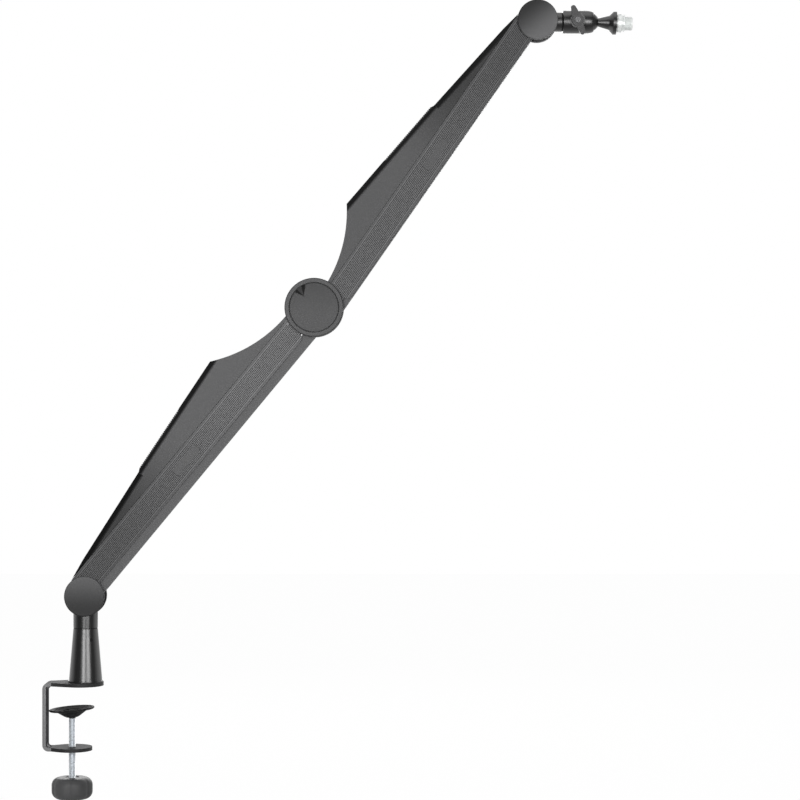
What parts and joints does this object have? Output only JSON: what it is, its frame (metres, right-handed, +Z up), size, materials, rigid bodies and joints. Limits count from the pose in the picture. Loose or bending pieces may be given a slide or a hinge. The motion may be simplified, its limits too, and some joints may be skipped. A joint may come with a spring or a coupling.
{
  "type": "microphone boom arm",
  "caption": "Desk-clamped boom arm of two ribbed spring links, each a parallelogram with a tie bar, on a swivelling post, with a ball-jointed microphone thread at its end.",
  "frame": {"origin": "The post's axis where it meets the underside of the clamp's upper plate, which rests on the desk.", "axes": "+X along the arm's reach at rest, +Z up, and the front, with the elbow's knob and the wing lever, faces -Y."},
  "size_m": [0.6768, 0.052, 0.917],
  "materials": {
    "clamp_steel": "satin dark grey powder coat",
    "post_black": "gloss black enamel",
    "zinc_steel": "bright zinc plate",
    "pin_steel": "ground steel",
    "knob_plastic": "fine grained dark grey",
    "pad_black": "gloss black enamel",
    "lining_rubber": "matt",
    "hub_paint": "dark grey powder coat on a casting",
    "cap_plastic": "satin moulded dark grey",
    "rail_metal": "grey anodised extrusion with fine ribs",
    "shell_plastic": "fine grained grey",
    "lid_plastic": "fine grained dark grey",
    "badge_metal": "satin, blank",
    "tie_metal": "dark grey powder coat",
    "bush_nylon": "natural nylon",
    "spring_steel": "oiled spring wire",
    "bezel_metal": "satin grey",
    "washer_fibre": "fibre friction washer",
    "ball_brass": "turned",
    "head_black": "satin black",
    "bright_steel": "bright nickel"
  },
  "bodies": {
    "clamp": {"clamp_frame": "clamp_steel", "post_cone": "post_black", "foot_ring": "post_black", "post_bolt": "pin_steel", "post_bushes": "bush_nylon", "set_screw": "pin_steel", "swivel_washer": "washer_fibre"},
    "pad_carriage": {"thrust_ball": "ball_brass"},
    "clamp_screw": {"clamp_spindle": "zinc_steel", "spindle_rivet": "zinc_steel", "clamp_knob": "knob_plastic"},
    "pad": {"pressure_pad": "pad_black", "pad_lining": "lining_rubber"},
    "base": {"base_hub": "hub_paint", "swivel_pin": "pin_steel", "swivel_clip": "pin_steel", "base_pins": "pin_steel", "base_caps": "cap_plastic"},
    "lower_arm": {"lower_front_rail": "rail_metal", "lower_rear_rail": "rail_metal", "lower_front_shell": "shell_plastic", "lower_rear_shell": "shell_plastic", "lower_cable_lid": "lid_plastic", "lower_badge": "badge_metal", "lower_bushes": "bush_nylon", "lower_fixings": "pin_steel", "lower_spring": "spring_steel"},
    "lower_tie": {"lower_tie_bar": "tie_metal"},
    "elbow": {"elbow_front_plate": "hub_paint", "elbow_rear_plate": "hub_paint", "elbow_spacers": "hub_paint", "elbow_pins": "pin_steel", "elbow_bezel": "bezel_metal", "elbow_rear_cap": "cap_plastic", "tension_nut": "pin_steel", "friction_washer": "washer_fibre"},
    "elbow_knob": {"elbow_knob": "knob_plastic", "knob_stud": "pin_steel"},
    "upper_arm": {"upper_front_rail": "rail_metal", "upper_rear_rail": "rail_metal", "upper_front_shell": "shell_plastic", "upper_rear_shell": "shell_plastic", "upper_cable_lid": "lid_plastic", "upper_badge": "badge_metal", "upper_bushes": "bush_nylon", "upper_fixings": "pin_steel", "upper_spring": "spring_steel"},
    "upper_tie": {"upper_tie_bar": "tie_metal"},
    "head": {"head_hub": "head_black", "head_pins": "pin_steel", "head_caps": "cap_plastic", "ball_housing": "head_black", "pressure_plunger": "pin_steel"},
    "ball_seat": {"ball_seat": "bush_nylon"},
    "ball_stem": {"ball_stem": "head_black", "stem_collar": "head_black", "thread_adaptor": "bright_steel"},
    "wing": {"wing_lever": "head_black", "wing_screw": "head_black"}
  },
  "joints": [
    {"name": "swivel", "type": "hinge", "parent": "clamp", "child": "base", "pos_m": [0, 0, 0], "axis": [0, 0, 1], "continuous": true},
    {"name": "lower_pitch", "type": "hinge", "parent": "base", "child": "lower_arm", "pos_m": [-0.00975, 0, 0.1065], "axis": [0, -1, 0], "range_deg": [-38, 40], "deforming": ["lower_spring"]},
    {"name": "lower_tie_turn", "type": "hinge", "parent": "base", "child": "lower_tie", "pos_m": [0.01275, 0, 0.1065], "axis": [0, -1, 0], "range_deg": [-39, 41]},
    {"name": "elbow_level", "type": "hinge", "parent": "lower_arm", "child": "elbow", "pos_m": [0.24549, 0, 0.41448], "axis": [0, -1, 0], "range_deg": [-41, 39]},
    {"name": "elbow_knob_turn", "type": "hinge", "parent": "elbow", "child": "elbow_knob", "pos_m": [0.26299, 0, 0.43408], "axis": [0, -1, 0], "range_deg": [-120, 120]},
    {"name": "upper_pitch", "type": "hinge", "parent": "elbow", "child": "upper_arm", "pos_m": [0.28669, 0, 0.44343], "axis": [0, -1, 0], "range_deg": [-90, 14], "deforming": ["upper_spring"]},
    {"name": "upper_tie_turn", "type": "hinge", "parent": "elbow", "child": "upper_tie", "pos_m": [0.28189, 0, 0.42143], "axis": [0, -1, 0], "range_deg": [-91, 15]},
    {"name": "head_level", "type": "hinge", "parent": "upper_arm", "child": "head", "pos_m": [0.51526, 0, 0.77169], "axis": [0, -1, 0], "range_deg": [-15, 91]},
    {"name": "ball_spin", "type": "hinge", "parent": "head", "child": "ball_seat", "pos_m": [0.57946, 0, 0.76254], "axis": [1, 0, 0], "continuous": true},
    {"name": "ball_tilt", "type": "hinge", "parent": "ball_seat", "child": "ball_stem", "pos_m": [0.57946, 0, 0.76254], "axis": [0, -1, 0], "range_deg": [-30, 30]},
    {"name": "wing_turn", "type": "hinge", "parent": "head", "child": "wing", "pos_m": [0.56496, 0, 0.76254], "axis": [0, -1, 0], "range_deg": [-20, 200]},
    {"name": "clamp_travel", "type": "slide", "parent": "clamp", "child": "pad_carriage", "axis": [0, 0, 1], "range_m": [-0.03, 0.02]},
    {"name": "clamp_turn", "type": "hinge", "parent": "pad_carriage", "child": "clamp_screw", "pos_m": [-0.0155, 0, -0.0335], "axis": [0, 0, 1], "range_deg": [-8680, 5790]},
    {"name": "pad_tilt", "type": "hinge", "parent": "pad_carriage", "child": "pad", "pos_m": [-0.0155, 0, -0.0335], "axis": [0, -1, 0], "range_deg": [-10, 2]}
  ],
  "couplings": [
    {"joint": "lower_tie_turn", "follows": "lower_pitch", "ratio": 1},
    {"joint": "elbow_level", "follows": "lower_pitch", "ratio": -1},
    {"joint": "upper_tie_turn", "follows": "upper_pitch", "ratio": 1},
    {"joint": "head_level", "follows": "upper_pitch", "ratio": -1},
    {"joint": "clamp_turn", "follows": "clamp_travel", "rad_per_m": 5026.5}
  ]
}
